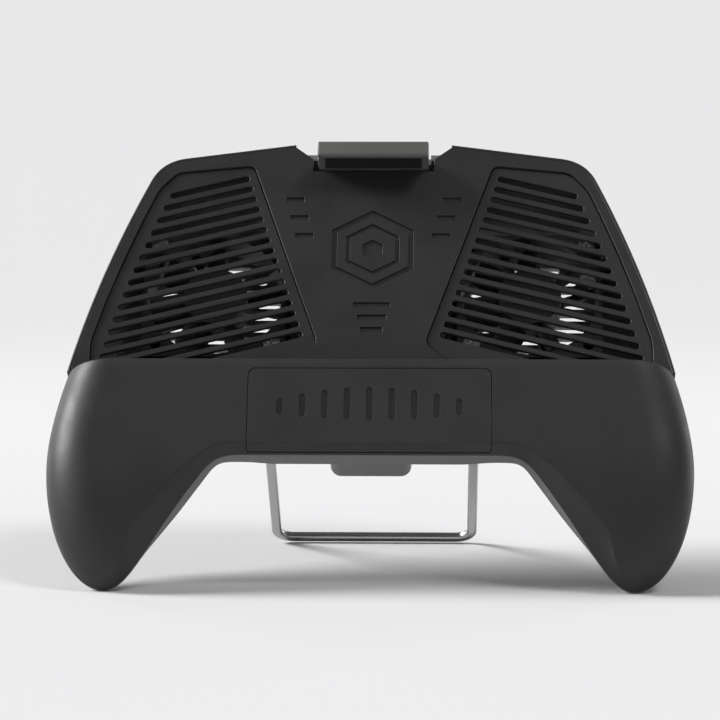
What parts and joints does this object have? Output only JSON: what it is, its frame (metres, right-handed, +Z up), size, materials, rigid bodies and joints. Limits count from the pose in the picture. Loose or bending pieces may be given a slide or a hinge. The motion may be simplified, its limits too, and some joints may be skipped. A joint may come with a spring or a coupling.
{
  "type": "mobile game controller",
  "caption": "Two-handled phone grip with a leaning vented deck, lip and sprung clamp for the phone, cooling fans behind the vents and a fold-out wire stand.",
  "frame": {"origin": "middle of the footprint, on the surface that the handles' tips and the stand's bar rest on", "axes": "+X along the phone to the player's right hand seen from the front, +Y away from the player, +Z up"},
  "size_m": [0.1736, 0.0888, 0.1165],
  "materials": {
    "shell_black": "fine-textured matte black",
    "shell_grey": "satin grey",
    "deck_black": "fine-textured matte black",
    "clamp_grey": "satin dark grey",
    "pad_rubber": "matte",
    "inner_black": "moulded black",
    "spring_steel": "bright",
    "stand_steel": "satin",
    "bracket_black": "moulded black",
    "bush_brass": "turned",
    "coil_copper": "enamelled copper winding",
    "battery_wrap": "shrink wrap",
    "board_green": "solder mask",
    "switch_grey": "moulded",
    "button_grey": "satin",
    "lead_red": "insulation"
  },
  "bodies": {
    "casing": {"front_shell": "shell_black", "rear_shell": "shell_grey", "deck_cover": "deck_black", "front_panel": "shell_black", "left_vent_grille": "deck_black", "right_vent_grille": "deck_black", "clamp_guide": "inner_black", "clamp_springs": "spring_steel", "left_stand_bracket": "bracket_black", "right_stand_bracket": "bracket_black", "left_fan_frame": "inner_black", "right_fan_frame": "inner_black", "left_fan_bush": "bush_brass", "right_fan_bush": "bush_brass", "left_fan_coil": "coil_copper", "right_fan_coil": "coil_copper", "battery_pack": "battery_wrap", "control_board": "board_green", "charging_port": "spring_steel", "power_switch": "switch_grey", "battery_lead": "lead_red", "left_fan_lead": "lead_red", "right_fan_lead": "lead_red", "case_screws": "spring_steel", "fan_screws": "spring_steel", "guide_screws": "spring_steel", "board_screws": "spring_steel", "bracket_screws": "spring_steel"},
    "clamp": {"clamp_slider": "clamp_grey", "clamp_pad": "pad_rubber"},
    "stand": {"stand_bail": "stand_steel"},
    "left_fan": {"left_fan_rotor": "inner_black"},
    "right_fan": {"right_fan_rotor": "inner_black"},
    "button": {"power_button": "button_grey"}
  },
  "joints": [
    {"name": "clamp_slide", "type": "slide", "parent": "casing", "child": "clamp", "axis": [0, 0.6088, 0.7934], "range_m": [0, 0.022], "stiffness_N_per_m": 200, "springref_m": -0.02, "deforming": ["clamp_springs"]},
    {"name": "stand_fold", "type": "hinge", "parent": "casing", "child": "stand", "pos_m": [0, -0.00199, 0.03432], "axis": [1, 0, 0], "range_deg": [0, 90]},
    {"name": "left_fan_spin", "type": "hinge", "parent": "casing", "child": "left_fan", "pos_m": [-0.0435, 0.01684, 0.06839], "axis": [0, -0.7934, 0.6088], "continuous": true},
    {"name": "right_fan_spin", "type": "hinge", "parent": "casing", "child": "right_fan", "pos_m": [0.0435, 0.01684, 0.06839], "axis": [0, -0.7934, 0.6088], "continuous": true},
    {"name": "power_press", "type": "slide", "parent": "casing", "child": "button", "axis": [0, -0.7934, 0.6088], "range_m": [0, 0.0005], "stiffness_N_per_m": 2000, "springref_m": -0.0004}
  ]
}
